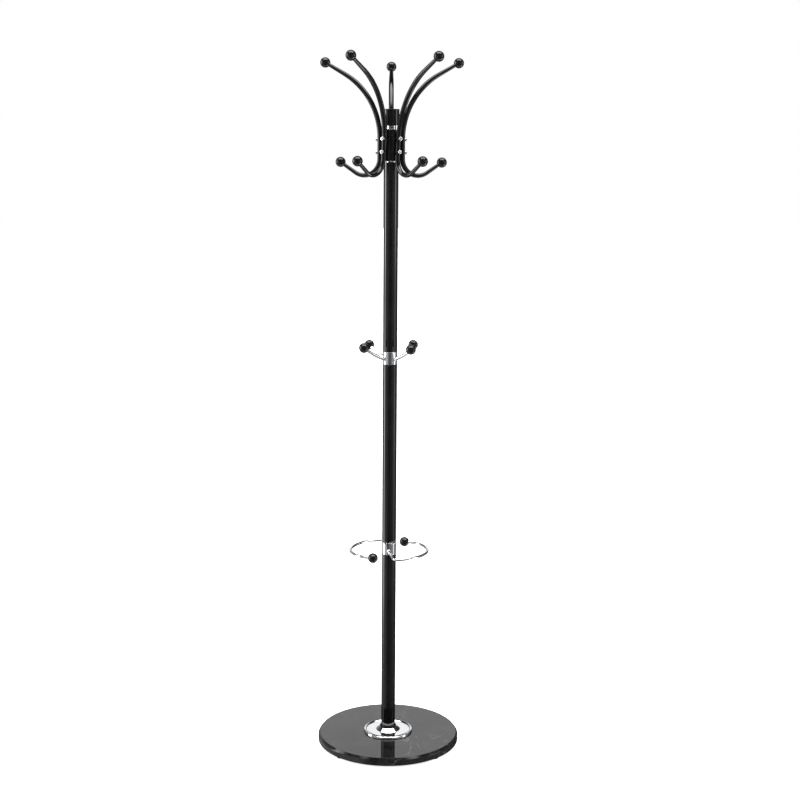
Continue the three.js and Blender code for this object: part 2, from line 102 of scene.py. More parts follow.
class Nodes:
    """Short calls for building a node tree."""

    def __init__(self, tree):
        self.tree = tree

    def add(self, kind, inputs=None, **settings):
        node = self.tree.nodes.new(kind)
        for name, value in settings.items():
            setattr(node, name, value)
        for name, value in (inputs or {}).items():
            if isinstance(value, bpy.types.NodeSocket):
                self.tree.links.new(value, node.inputs[name])
            else:
                node.inputs[name].default_value = value
        return node

    def math(self, operation, a, b=0.0):
        return self.add("ShaderNodeMath", {0: a, 1: b}, operation=operation).outputs[0]

    def fade(self, value, start, end, low=0.0, high=1.0):
        """Goes smoothly from low at start to high at end."""
        inputs = {"Value": value, "From Min": start, "From Max": end, "To Min": low, "To Max": high}
        node = self.add("ShaderNodeMapRange", inputs, interpolation_type="SMOOTHSTEP")
        return node.outputs["Result"]

    def noise(self, coordinates, scale, detail=2.0, distortion=0.0, roughness=0.5):
        inputs = {"Vector": coordinates, "Scale": scale, "Detail": detail,
                  "Distortion": distortion, "Roughness": roughness}
        return self.add("ShaderNodeTexNoise", inputs).outputs["Fac"]

    def profile(self, value, points):
        """Follows straight lines through (value, result) points; none of the results is negative."""
        start, end = points[0][0], points[-1][0]
        peak = max(result for _, result in points)
        share = self.add("ShaderNodeMapRange", {"Value": value, "From Min": start, "From Max": end})
        node = self.add("ShaderNodeValToRGB", {"Fac": share.outputs["Result"]})
        elements = node.color_ramp.elements
        elements[0].color, elements[1].color = grey(points[0][1] / peak), grey(points[-1][1] / peak)
        for place, result in points[1:-1]:
            elements.new((place - start) / (end - start)).color = grey(result / peak)
        return self.math("MULTIPLY", node.outputs["Color"], peak)

    def mix(self, factor, low, high):
        """Mixes two colours."""
        node = self.add("ShaderNodeMix", data_type="RGBA")
        for index, value in ((0, factor), (6, low), (7, high)):
            if isinstance(value, bpy.types.NodeSocket):
                self.tree.links.new(value, node.inputs[index])
            else:
                node.inputs[index].default_value = value
        return node.outputs[2]

    def bump(self, height, distance, strength):
        inputs = {"Height": height, "Distance": distance, "Strength": strength}
        return self.add("ShaderNodeBump", inputs).outputs["Normal"]


def grey(value):
    return (value, value, value, 1.0)


def new_material(name, base, **constants):
    """A Principled material, its node helper, its shader and its object coordinates.
    Where nodes vary a socket later, its constant here is only the value underneath."""
    material = bpy.data.materials.new(name)
    material.use_nodes = True
    nodes = Nodes(material.node_tree)
    shader = material.node_tree.nodes["Principled BSDF"]
    shader.inputs["Base Color"].default_value = base
    for socket, value in constants.items():
        shader.inputs[socket.replace("_", " ")].default_value = value
    place = nodes.add("ShaderNodeTexCoord").outputs["Object"]
    return material, nodes, shader, place


def link(nodes, shader, **sockets):
    for socket, output in sockets.items():
        nodes.tree.links.new(output, shader.inputs[socket.replace("_", " ")])


# ---- Materials ---------------------------------------------------------------------------


def black_enamel():
    """Stoved black enamel on steel: a gloss coat with the faint ripple of sprayed paint."""
    material, nodes, shader, place = new_material("black_enamel", grey(0.0035), Roughness=0.1, IOR=1.5)
    ripple = nodes.noise(place, 420, detail=2)
    wear = nodes.noise(place, 34, detail=4)
    tint = nodes.mix(nodes.fade(wear, 0.35, 0.7), grey(0.0028), grey(0.0048))
    roughness = nodes.fade(wear, 0.3, 0.75, 0.045, 0.085)
    link(nodes, shader, Base_Color=tint, Roughness=roughness, Normal=nodes.bump(ripple, 0.00004, 0.5))
    return material


def chrome():
    """Bright chromium plate, very slightly wavy over the steel below."""
    plate = (0.83, 0.84, 0.86, 1)
    material, nodes, shader, place = new_material("chrome", plate, Metallic=1.0, Roughness=0.05)
    waves = nodes.noise(place, 90, detail=2)
    smears = nodes.noise(place, 26, detail=5, distortion=0.6)
    roughness = nodes.fade(smears, 0.3, 0.75, 0.03, 0.085)
    link(nodes, shader, Roughness=roughness, Normal=nodes.bump(waves, 0.0001, 0.35))
    return material


# Two sizes of vein: the scale of its winding, its width, its strength, and the scale of its gaps.
VEINS = [(4.2, 0.005, 0.32, 5.0), (9.5, 0.007, 0.16, 8.0)]
VEIN_COLOUR = (0.34, 0.335, 0.32, 1)


def marble():
    """Polished black marble: cloudy charcoal, fine crystals, and a few thin white veins."""
    material, nodes, shader, place = new_material("marble", grey(0.01), Roughness=0.05, IOR=1.52)
    clouds = nodes.noise(place, 13, detail=6, distortion=0.8, roughness=0.6)
    crystals = nodes.noise(place, 700, detail=2)
    ground = nodes.mix(nodes.fade(clouds, 0.35, 0.72), grey(0.0035), grey(0.014))
    ground = nodes.mix(nodes.fade(crystals, 0.6, 0.78, 0.0, 0.3), ground, grey(0.04))
    for scale, width, strength, mask_scale in VEINS:
        field = nodes.noise(place, scale, detail=7, distortion=1.3, roughness=0.55)
        ridge = nodes.math("ABSOLUTE", nodes.math("SUBTRACT", field, 0.5))
        mask = nodes.fade(nodes.noise(place, mask_scale, detail=3), 0.5, 0.66, 0.0, strength)
        vein = nodes.math("MULTIPLY", nodes.fade(ridge, 0.0, width, 1.0, 0.0), mask)
        ground = nodes.mix(vein, ground, VEIN_COLOUR)
    polish = nodes.fade(clouds, 0.3, 0.8, 0.03, 0.07)
    link(nodes, shader, Base_Color=ground, Roughness=polish, Normal=nodes.bump(crystals, 0.00002, 0.12))
    return material


def black_plastic():
    """Glossy moulded black plastic with fine handling marks."""
    material, nodes, shader, place = new_material("black_plastic", grey(0.004), Roughness=0.09, IOR=1.49)
    marks = nodes.noise(place, 160, detail=5, distortion=1.5)
    roughness = nodes.fade(marks, 0.35, 0.75, 0.03, 0.08)
    link(nodes, shader, Roughness=roughness, Normal=nodes.bump(marks, 0.00002, 0.15))
    return material


def rubber():
    """Matt black rubber with a fine moulded grain."""
    material, nodes, shader, place = new_material(
        "rubber", grey(0.007), Roughness=0.7, IOR=1.5, Specular_IOR_Level=0.12)
    grain = nodes.noise(place, 1900, detail=3)
    bloom = nodes.noise(place, 130, detail=4)
    tint = nodes.mix(nodes.fade(bloom, 0.35, 0.75), grey(0.005), grey(0.011))
    link(nodes, shader, Base_Color=tint, Roughness=nodes.fade(bloom, 0.3, 0.8, 0.6, 0.85),
         Normal=nodes.bump(grain, 0.00012, 0.6))
    return material


def steel():
    """Zinc-plated steel with a fine turned finish."""
    zinc = (0.78, 0.79, 0.8, 1)
    material, nodes, shader, place = new_material("steel", zinc, Metallic=1.0, Roughness=0.46)
    flow = nodes.noise(place, 300, detail=4)
    plating = nodes.noise(place, 60, detail=3, distortion=0.5)
    tint = nodes.mix(nodes.fade(plating, 0.3, 0.75), (0.8, 0.81, 0.82, 1), (0.87, 0.87, 0.87, 1))
    link(nodes, shader, Base_Color=tint, Roughness=nodes.fade(flow, 0.3, 0.75, 0.42, 0.5),
         Normal=nodes.bump(flow, 0.00001, 0.1))
    return material


def nylon():
    """Natural white nylon, softly mottled."""
    ivory = (0.78, 0.77, 0.72, 1)
    material, nodes, shader, place = new_material("nylon", ivory, Roughness=0.45, IOR=1.53)
    cloud = nodes.noise(place, 180, detail=4)
    tint = nodes.mix(nodes.fade(cloud, 0.3, 0.75), (0.72, 0.71, 0.66, 1), (0.83, 0.82, 0.78, 1))
    link(nodes, shader, Base_Color=tint, Roughness=nodes.fade(cloud, 0.3, 0.8, 0.38, 0.55),
         Normal=nodes.bump(nodes.noise(place, 1500), 0.00004, 0.4))
    return material


MAKERS = (black_enamel, chrome, marble, black_plastic, rubber, steel, nylon)
FINISHES = {make.__name__: make() for make in MAKERS}

# ---- Mesh helpers ------------------------------------------------------------------------


def rounded(corners):
    """The outline through (r, z) or (r, z, fillet radius) corners, as complex r + iz."""
    points = []
    for i, (r, z, *fillet) in enumerate(corners):
        here = complex(r, z)
        if not fillet:
            points.append(here)
            continue
        arriving = here - complex(*corners[i - 1][:2])
        leaving = complex(*corners[(i + 1) % len(corners)][:2]) - here
        turn = cmath.phase(leaving / arriving)
        slope = math.tan(abs(turn) / 2)
        reach = min(fillet[0] * slope, 0.49 * min(abs(arriving), abs(leaving)))
        start = here - reach * arriving / abs(arriving)
        to_centre = 1j * math.copysign(reach / slope, turn) * arriving / abs(arriving)
        steps = max(2, math.ceil(abs(turn) / ARC_STEP))
        for k in range(steps + 1):
            points.append(start + to_centre - to_centre * cmath.exp(1j * turn * k / steps))
    return points


def ring(radius, height, segments):
    """A row of points round Z. The radius is a number or a function of the angle."""
    if radius == 0:
        return [Vector((0, 0, height))]
    row = []
    for i in range(segments):
        angle = TAU * i / segments
        r = radius(angle) if callable(radius) else radius
        row.append(Vector((r * math.cos(angle), r * math.sin(angle), height)))
    return row


def skin(rows, closed):
    """A mesh through rows of points. A row of one point is a tip.
    closed joins the last row to the first."""
    mesh = bmesh.new()
    made = [[mesh.verts.new(point) for point in row] for row in rows]
    pairs = list(zip(made, made[1:]))
    if closed:
        pairs.append((made[-1], made[0]))
    for low, high in pairs:
        count = max(len(low), len(high))
        for i in range(count):
            j = (i + 1) % count
            if len(low) == 1:
                corners = (low[0], high[j], high[i])
            elif len(high) == 1:
                corners = (low[i], low[j], high[0])
            else:
                corners = (low[i], low[j], high[j], high[i])
            mesh.faces.new(corners)
    bmesh.ops.recalc_face_normals(mesh, faces=mesh.faces)
    return mesh


def turned(corners, segments=96):
    """A solid of revolution about Z. An outline that doesn't start on the axis closes on itself."""
    rows = [ring(point.real, point.imag, segments) for point in rounded(corners)]
    return skin(rows, closed=len(rows[0]) > 1)


def add_piece(name, mesh, finish, body="stand", node=None, place=None):
    """Makes a piece from a bmesh. node is the CAD node it stands for, if there is one."""
    data = bpy.data.meshes.new(name)
    mesh.to_mesh(data)
    mesh.free()
    if place:
        data.transform(place)
    data.shade_smooth()
    data.set_sharp_from_angle(angle=SMOOTH_LIMIT)
    data.materials.append(FINISHES[finish])
    piece = bpy.data.objects.new(name, data)
    bpy.context.scene.collection.objects.link(piece)
    normals = piece.modifiers.new("normals", "WEIGHTED_NORMAL")
    normals.keep_sharp = True
    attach(piece, body)
    if node:
        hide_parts(node)
    return piece


def combine(mesh, tools, operation):
    """Joins the tools to a mesh (UNION) or takes them away (DIFFERENCE). All are bmeshes."""
    work = []
    for i, part in enumerate([mesh, *tools]):
        data = bpy.data.meshes.new("work")
        part.to_mesh(data)
        part.free()
        work.append(bpy.data.objects.new(f"work_{i}", data))
        bpy.context.scene.collection.objects.link(work[i])
    for tool in work[1:]:
        modifier = work[0].modifiers.new("combine", "BOOLEAN")
        modifier.operation = operation
        modifier.object = tool
        modifier.solver = "EXACT"
    depsgraph = bpy.context.evaluated_depsgraph_get()
    result = bmesh.new()
    result.from_object(work[0], depsgraph)
    for leftover in work:
        data = leftover.data
        bpy.data.objects.remove(leftover)
        bpy.data.meshes.remove(data)
    return result


# ---- Bent rods and tubes -----------------------------------------------------------------

SECTION_STEP = 4 * MM  # between the sections of a straight stretch
BEND_STEP = math.radians(2)
TINY = 1e-12  # absorbs rounding where a stretch starts


class BentPath:
    """A flat path of straight lines, given as a length, and arcs, given as (radius, turn in degrees)."""

    def __init__(self, start, heading, moves):
        self.moves = []
        self.stations = [0.0]
        position, angle, total = complex(*start), math.radians(heading), 0.0
        for move in moves:
            radius, turn = move if isinstance(move, tuple) else (None, 0.0)
            bend = math.radians(turn)
            length = radius * abs(bend) if radius else move
            steps = math.ceil(abs(bend) / BEND_STEP if radius else length / SECTION_STEP)
            self.moves.append((total, position, angle, bend / length))
            self.stations += [total + length * (k + 1) / steps for k in range(steps)]
            position, angle = self.advance(position, angle, bend / length, length)
            total += length
        self.length = total

    @staticmethod
    def advance(position, angle, curvature, distance):
        if not curvature:
            return position + distance * cmath.exp(1j * angle), angle
        turned_to = angle + curvature * distance
        chord = (cmath.exp(1j * turned_to) - cmath.exp(1j * angle)) / (1j * curvature)
        return position + chord, turned_to

    def at(self, distance):
        """Position as a complex number, and heading."""
        begun = [move for move in self.moves if move[0] <= distance + TINY]
        start, position, angle, curvature = begun[-1]
        return self.advance(position, angle, curvature, distance - start)


def section(path, distance, radius, segments):
    """A round section of a rod whose path lies in the XY plane."""
    centre, heading = path.at(distance)
    side = 1j * cmath.exp(1j * heading)
    row = []
    for i in range(segments):
        angle = TAU * i / segments
        flat = centre + radius * math.cos(angle) * side
        row.append(Vector((flat.real, flat.imag, radius * math.sin(angle))))
    return row


def centre_point(path, distance):
    centre, _ = path.at(distance)
    return Vector((centre.real, centre.imag, 0))


STAND_UP = Matrix.Rotation(math.pi / 2, 4, "X")  # turns a path's XY plane into the XZ plane
WELD_SIZE = 1.6 * MM
WELD_STEPS = 5


def welded_rod(path, radius, to_collar, segments=32):
    """A round rod whose start is welded to the pole's collar with a hollow fillet all round.
    to_collar turns the path's frame into one where the collar stands on Z."""
    origin, heading = path.at(0)
    axis = to_collar.to_3x3() @ Vector((math.cos(heading), math.sin(heading), 0))
    centre = to_collar @ Vector((origin.real, origin.imag, 0))
    side = to_collar.to_3x3() @ Vector((-math.sin(heading), math.cos(heading), 0))
    lift = axis.cross(side)

    def meets_collar(point):
        """How far along the rod's axis the collar's surface is from this point."""
        a = axis.x ** 2 + axis.y ** 2
        b = point.x * axis.x + point.y * axis.y
        c = point.x ** 2 + point.y ** 2 - POLE_RADIUS ** 2
        return (math.sqrt(max(b * b - a * c, 0)) - b) / a

    rows = [[centre + axis * meets_collar(centre)]]
    for k in range(WELD_STEPS + 1):
        angle = math.pi / 2 * k / WELD_STEPS
        along = WELD_SIZE * (1 - math.cos(angle))
        spread = radius + WELD_SIZE * (1 - math.sin(angle))
        row = []
        for i in range(segments):
            turn = TAU * i / segments
            point = centre + spread * (math.cos(turn) * side + math.sin(turn) * lift)
            row.append(point + axis * (meets_collar(point) + along))
        rows.append(row)
    clear = 2 * radius + 2 * WELD_SIZE
    for distance in path.stations:
        if distance > clear:
            rows.append([to_collar @ point for point in section(path, distance, radius, segments)])
    chamfer = 0.12 * radius
    rows.append([to_collar @ point for point in section(path, path.length, radius - chamfer, segments)])
    rows.append([to_collar @ centre_point(path, path.length)])
    return skin(rows, closed=False)


# ---- Balls -------------------------------------------------------------------------------

BALL_RADIUS = 13.2 * MM
BALL_BORE_FLOOR = 1 * MM  # behind the ball's centre
BALL_INSET = BALL_BORE_FLOOR + FIT_GAP  # a rod's end stops this far short of the centre
BALL_MOUTH = 0.5 * MM  # chamfer of the bore


def ball(rod_radius, segments=64):
    """A plastic ball about the origin, its blind bore facing -Z with a softened mouth."""
    bore = rod_radius + 2 * FIT_GAP
    lip = math.asin((bore + BALL_MOUTH) / BALL_RADIUS)
    steps = 30
    outline = [(0, -BALL_BORE_FLOOR), (bore, -BALL_BORE_FLOOR, 0.4 * MM)]
    outline.append((bore, -BALL_RADIUS * math.cos(lip) + BALL_MOUTH))
    for i in range(steps):
        angle = lip + (math.pi - lip) * i / steps
        outline.append((BALL_RADIUS * math.sin(angle), -BALL_RADIUS * math.cos(angle)))
    outline.append((0, BALL_RADIUS))
    return turned(outline, segments)


def add_ball(node, centre, outward, rod_radius, body):
    aim = Vector((0, 0, 1)).rotation_difference(outward).to_matrix().to_4x4()
    place = Matrix.Translation(centre) @ aim
    add_piece(f"{node}_fine", ball(rod_radius), "black_plastic", body, node, place)


# ---- Base --------------------------------------------------------------------------------

BEVEL_WIDTH = 4.8 * MM
BEVEL_HEIGHT = 6 * MM
BOLT_HOLE = 7 * MM
RECESS_RADIUS = 24 * MM
RECESS_DEPTH = 9.5 * MM


def add_marble():
    rim = half_width("marble_base")
    recess_top = MARBLE_BOTTOM + RECESS_DEPTH
    add_piece("marble_base_fine", turned([
        (BOLT_HOLE, recess_top),
        (RECESS_RADIUS, recess_top, 2 * MM),
        (RECESS_RADIUS, MARBLE_BOTTOM, 0.6 * MM),
        (rim, MARBLE_BOTTOM, 0.8 * MM),
        (rim, MARBLE_TOP - BEVEL_HEIGHT, 1.6 * MM),
        (rim - BEVEL_WIDTH, MARBLE_TOP, 0.6 * MM),
        (BOLT_HOLE, MARBLE_TOP),
    ], 288), "marble", node="marble_base")


FOOT_HOLLOW = 1.4 * MM  # depth of the dimple under a foot


def add_feet():
    for i in range(4):
        node = f"foot_{i + 1}"
        low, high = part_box(node)
        radius, top = half_width(node), high.z
        place = Matrix.Translation(((low.x + high.x) / 2, (low.y + high.y) / 2, 0))
        add_piece(f"{node}_fine", turned([
            (0, FOOT_HOLLOW),
            (0.3 * radius, FOOT_HOLLOW, 0.8 * MM),
            (0.42 * radius, 0, 0.6 * MM),
            (0.86 * radius, 0, 1.2 * MM),
            (radius, top - 1.4 * MM, 1 * MM),
            (radius, top, 0.4 * MM),
            (0, top),
        ], 64), "rubber", node=node, place=place)


POLE_BORE = POLE_RADIUS + FIT_GAP  # of a piece that the pole goes through
DISH_SHEET = 1.6 * MM
DISH_FLOOR = MARBLE_TOP + 4 * MM
DISH_RIM = MARBLE_TOP + 5.9 * MM


def add_dish():
    low, high = heights("base_dish")
    rim_radius = half_width("base_dish")
    boss_below, floor_below = high - DISH_SHEET, DISH_FLOOR - DISH_SHEET
    add_piece("base_dish_fine", turned([
        (POLE_BORE, boss_below),
        (22 * MM, boss_below, 1 * MM),
        (31.7 * MM, floor_below, 1 * MM),
        (56.5 * MM, floor_below, 1 * MM),
        (59.2 * MM, low, 0.8 * MM),
        (rim_radius, low, 0.3 * MM),
        (rim_radius - 0.9 * MM, DISH_RIM - 1 * MM, 1.2 * MM),
        (rim_radius - 2.6 * MM, DISH_RIM, 1.4 * MM),
        (60.4 * MM, DISH_FLOOR + 0.6 * MM, 1.2 * MM),
        (58.2 * MM, DISH_FLOOR - 1.1 * MM, 1 * MM),
        (54.9 * MM, DISH_FLOOR, 0.8 * MM),
        (32.5 * MM, DISH_FLOOR, 0.8 * MM),
        (22.8 * MM, high, 1.2 * MM),
        (POLE_BORE, high),
    ], 192), "chrome", node="base_dish")


def add_foot_ring():
    low, high = heights("pole_foot_ring")
    outer = half_width("pole_foot_ring")
    add_piece("pole_foot_ring_fine", turned([
        (POLE_BORE, low),
        (outer, low, 0.4 * MM),
        (outer, low + 2.2 * MM, 0.9 * MM),
        (POLE_BORE + 1.1 * MM, high, 0.5 * MM),
        (POLE_BORE, high),
    ]), "rubber", node="pole_foot_ring")


# ---- Threads and fasteners ---------------------------------------------------------------

THREAD_ROWS = 6  # to a turn
THREAD_PITCH = 1.75 * MM  # of the M12 threads on the studs and the spindle
BOLT_PITCH = 1.5 * MM
SCREW_PITCH = 1 * MM
THREAD_TAPER = 1.2 * MM  # an end face's radius is this much less than its thread's
THREAD_DEPTH = 0.6  # of the pitch


def thread(radius, pitch, start, end, segments):
    """Rows of points down a screw thread from start to end, which may run either way."""
    count = math.ceil(abs(end - start) / pitch * THREAD_ROWS)
    rows = []
    for k in range(count + 1):
        height = start + (end - start) * k / count

        def groove(angle):
            phase = (height / pitch - angle / TAU) % 1
            return radius - THREAD_DEPTH * pitch * abs(2 * phase - 1)

        rows.append(ring(groove, height, segments))
    return rows


def hexagon(across_corners):
    """The radius of a hexagon as a function of the angle."""
    flat = across_corners * math.cos(math.pi / 6)
    return lambda angle: flat / math.cos((angle % (math.pi / 3)) - math.pi / 6)


def add_studs():
    for tier in ("umbrella", "hook"):
        node = f"{tier}_joint_stud"
        low, high = heights(node)
        radius = half_width(node)
        tip = radius - THREAD_TAPER
        rows = [ring(0, low, 1), ring(tip, low, 48)]
        rows += thread(radius, THREAD_PITCH, low + 1 * MM, high - 1 * MM, 48)
        rows += [ring(tip, high, 48), ring(0, high, 1)]
        add_piece(f"{node}_fine", skin(rows, closed=False), "steel", node=node)


BOLT_SHANK = 5 * MM
BOLT_CORNER = 9.8 * MM  # across corners, halved


def add_bolt():
    low, high = heights("base_bolt")
    head_top = low + 6 * MM
    shank = BOLT_SHANK
    size = hexagon(BOLT_CORNER)
    bevel = hexagon(0.93 * BOLT_CORNER)
    rows = [ring(0, low, 1), ring(bevel, low, 48), ring(size, low + 0.9 * MM, 48)]
    rows += [ring(size, head_top, 48), ring(shank, head_top, 48), ring(shank, head_top + 12 * MM, 48)]
    rows += thread(shank, BOLT_PITCH, head_top + 13 * MM, high - 1 * MM, 48)
    rows += [ring(shank - THREAD_TAPER, high, 48), ring(0, high, 1)]
    add_piece("base_bolt_fine", skin(rows, closed=False), "steel", node="base_bolt")

    low, high = heights("base_washer")
    hole, rim = shank + 0.5 * MM, half_width("base_washer")
    add_piece("base_washer_fine", turned([
        (hole, low),
        (rim, low, 0.4 * MM),
        (rim, high, 0.4 * MM),
        (hole, high),
    ]), "steel", node="base_washer")


# ---- Pole --------------------------------------------------------------------------------

POLE_WALL = 1.5 * MM
CROWN_WALL = 2 * MM
INSERT_DEPTH = 12 * MM
TUBE_EDGE = 0.35 * MM
COLLAR_BORE = 16 * MM


def tube_shell(node, radius, wall, bottom_hole=0, top_hole=0):
    """A length of tube with a threaded insert in each end that is given a hole radius."""
    low, high = heights(node)
    inner = radius - wall
    outline = [(radius, low, TUBE_EDGE), (radius, high, TUBE_EDGE)]
    if top_hole:
        floor = high - INSERT_DEPTH
        outline += [(top_hole, high, TUBE_EDGE), (top_hole, floor), (inner, floor)]
    else:
        outline.append((inner, high, TUBE_EDGE))
    if bottom_hole:
        roof = low + INSERT_DEPTH
        outline += [(inner, roof), (bottom_hole, roof), (bottom_hole, low, TUBE_EDGE)]
    else:
        outline.append((inner, low, TUBE_EDGE))
    return turned(outline)


def add_pole():
    stud_hole = half_width("hook_joint_stud") + FIT_GAP
    bottoms = {"lower_tube": BOLT_SHANK + FIT_GAP, "middle_tube": stud_hole, "upper_tube": stud_hole}
    for node, bottom_hole in bottoms.items():
        shell = tube_shell(node, POLE_RADIUS, POLE_WALL, bottom_hole, stud_hole)
        add_piece(f"{node}_fine", shell, "black_enamel", node=node)
    for node in ("umbrella_collar", "hook_collar"):
        low, high = heights(node)
        add_piece(f"{node}_fine", turned([
            (COLLAR_BORE, low),
            (POLE_RADIUS, low, 0.6 * MM),
            (POLE_RADIUS, high, 0.6 * MM),
            (COLLAR_BORE, high),
        ]), "chrome", node=node)


# ---- Crown: spindle, bush, rings, cap ------------------------------------------------------

SPINDLE_RADIUS = 8 * MM
SPINDLE_BORE = SPINDLE_RADIUS + FIT_GAP  # of a piece that the spindle goes through
SPINDLE_STUD = 6 * MM
SPINDLE_THREAD_BELOW = 12 * MM
SPINDLE_THREAD_ABOVE = 15 * MM


def add_spindle():
    low, high = heights("crown_spindle")
    foot, head = low + SPINDLE_THREAD_BELOW, high - SPINDLE_THREAD_ABOVE
    edge = 0.5 * MM
    rows = [ring(0, low, 1), ring(SPINDLE_STUD - THREAD_TAPER, low, 48)]
    rows += thread(SPINDLE_STUD, THREAD_PITCH, low + 1 * MM, foot, 48)
    rows += [ring(SPINDLE_RADIUS - edge, foot, 48), ring(SPINDLE_RADIUS, foot + edge, 48)]
    rows += [ring(SPINDLE_RADIUS, head - edge, 48), ring(SPINDLE_RADIUS - edge, head, 48)]
    rows += thread(SPINDLE_STUD, THREAD_PITCH, head, high - 1 * MM, 48)
    rows += [ring(SPINDLE_STUD - THREAD_TAPER, high, 48), ring(0, high, 1)]
    add_piece("crown_spindle_fine", skin(rows, closed=False), "steel", node="crown_spindle")


def add_bush():
    low, high = heights("swivel_bush")
    flange = half_width("swivel_bush")
    liner, lip = 12 * MM, 8 * MM
    add_piece("swivel_bush_fine", turned([
        (SPINDLE_BORE, low, 0.4 * MM),
        (flange, low, 0.6 * MM),
        (flange, low + lip, 0.6 * MM),
        (liner, low + lip, 1 * MM),
        (liner, high - lip, 1 * MM),
        (flange, high - lip, 0.6 * MM),
        (flange, high, 0.6 * MM),
        (SPINDLE_BORE, high, 0.4 * MM),
    ]), "nylon", "crown", "swivel_bush")


def trim_ring(node, beads, bulge):
    """A ring round the spindle with rounded beads that stand out by the bulge."""
    low, high = heights(node)
    foot = half_width(node) - bulge
    half = (high - low) / beads / 2
    outline = [(SPINDLE_BORE, low)]
    for i in range(beads):
        middle = low + half * (2 * i + 1)
        for k in range(-6, 7):
            angle = math.radians(13 * k)
            outline.append((foot + bulge * math.cos(angle), middle + half * math.sin(angle)))
    outline.append((SPINDLE_BORE, high))
    return turned(outline)


def add_crown_trim():
    for node, beads, bulge in (("crown_lower_ring", 1, 0.9 * MM), ("crown_upper_ring", 2, 1.5 * MM)):
        add_piece(f"{node}_fine", trim_ring(node, beads, bulge), "chrome", node=node)

    low, high = heights("top_cap")
    plug = CROWN_RADIUS - CROWN_WALL - FIT_GAP
    rim = half_width("top_cap")
    seat = low + 9 * MM
    add_piece("top_cap_fine", turned([
        (0, low),
        (plug, low, 1 * MM),
        (plug, seat),
        (rim, seat, 0.3 * MM),
        (rim, high - 0.5 * MM, 0.9 * MM),
        (rim - 1.6 * MM, high, 1.2 * MM),
        (0, high),
    ]), "black_plastic", node="top_cap")
    shell = tube_shell("top_tube", CROWN_RADIUS, CROWN_WALL, SPINDLE_STUD + FIT_GAP)
    add_piece("top_tube_fine", shell, "black_enamel", node="top_tube")


# ---- Crown hooks ---------------------------------------------------------------------------

HOOK_AZIMUTHS = [18 + 72 * i for i in range(5)]
HOOK_LEANS = [0, 0.5, -1, 3, 3.1]  # degrees from upright
HOOK_TUBE = 6.5 * MM
HOOK_WALL = 1.2 * MM
HOOK_START = 5.5 * MM  # the straight stretch's lower end above the sleeve's
HOOK_STRAIGHT = 48.5 * MM
UPPER_BEND = (189.6 * MM, -60.7)
UPPER_ARM = 62 * MM
LOWER_BEND = (42 * MM, -90)
LOWER_RISE = (45.5 * MM, -33.5)
LOWER_ARM = 48 * MM
SWAGE_UPPER = 100 * MM  # length over which the tube is drawn down
SWAGE_LOWER = 120 * MM
SWAGE_NECK = 13 * MM
SWAGE_RATIO = 0.72
BOSS_RADIUS = 5.5 * MM
BOSS_HEIGHT = 3.5 * MM
BOSS_SADDLE = 2 * MM  # how far its end wraps round the hook's tube

HOOK_REACH = CROWN_RADIUS + BOSS_HEIGHT + HOOK_TUBE
SCREW_HEAD = 4.9 * MM
SCREW_HEAD_HEIGHT = 3.5 * MM
SCREW_ROUND = 0.8 * MM  # radius of the head's shoulder
SCREW_SOCKET = 1.9 * MM  # across corners, halved
SCREW_SEAT = HOOK_REACH + HOOK_TUBE + 0.9 * MM
SCREW_SHANK = 3 * MM
SCREW_TIP = 16.6 * MM
WASHER_GAP = 0.05 * MM  # on both sides
TO_RADIAL = Matrix.Rotation(math.pi / 2, 4, "Y")  # turns Z into the outward direction

sleeve_bottom, sleeve_top = heights("crown_sleeve")
screw_heights = [middle_height(f"hook_screw_2{letter}") for letter in "ab"]
screw_middle = sum(screw_heights) / 2


def hook_place(index):
    """Puts a hook, made in the XZ plane, at its azimuth, leaning about the middle of its screws."""
    azimuth, lean = math.radians(HOOK_AZIMUTHS[index]), math.radians(HOOK_LEANS[index])
    return (Matrix.Rotation(azimuth, 4, "Z") @ Matrix.Translation((0, 0, screw_middle))
            @ Matrix.Rotation(-lean, 4, "X") @ Matrix.Translation((0, 0, -screw_middle)))


DRILL_ENDS = (10 * MM, 40 * MM)  # distances from the pole's axis


def radial_drill(height, segments=32):
    """A cutter for a screw hole through the sleeve and the hook's tube."""
    start, end = DRILL_ENDS
    hole = SCREW_SHANK + FIT_GAP
    rows = [ring(0, start, 1), ring(hole, start, segments), ring(hole, end, segments), ring(0, end, 1)]
    drill = skin(rows, closed=False)
    drill.transform(Matrix.Translation((0, 0, height)) @ TO_RADIAL)
    return drill


def hook_path():
    """From the lower ball's bore, round below, up the sleeve and out to the upper ball's bore."""
    rise = math.radians(-LOWER_RISE[1])
    straight_start = complex(HOOK_REACH, sleeve_bottom + HOOK_START)
    ball_centre = (straight_start + LOWER_BEND[0] * (1 - 1j)
                   + LOWER_RISE[0] * complex(math.sin(rise), 1 - math.cos(rise))
                   + LOWER_ARM * cmath.exp(1j * rise))
    start = ball_centre - BALL_INSET * cmath.exp(1j * rise)
    return BentPath((start.real, start.imag), 180 - LOWER_RISE[1], [
        LOWER_ARM - BALL_INSET, LOWER_RISE, LOWER_BEND, HOOK_STRAIGHT, UPPER_BEND, UPPER_ARM - BALL_INSET])


def swaged(path, distance):
    """The tube's scale at a distance along it: its ends are drawn down towards the balls."""
    drawn = max((length - reach) / (length - SWAGE_NECK)
                for length, reach in ((SWAGE_LOWER, distance), (SWAGE_UPPER, path.length - distance)))
    return 1 - (1 - SWAGE_RATIO) * min(max(drawn, 0), 1)


def hook_tube(path, segments=40):
    def surface(radius):
        return [section(path, d, radius * swaged(path, d), segments) for d in path.stations]

    tube = skin(surface(HOOK_TUBE) + surface(HOOK_TUBE - HOOK_WALL)[::-1], closed=True)
    tube.transform(STAND_UP)
    return tube


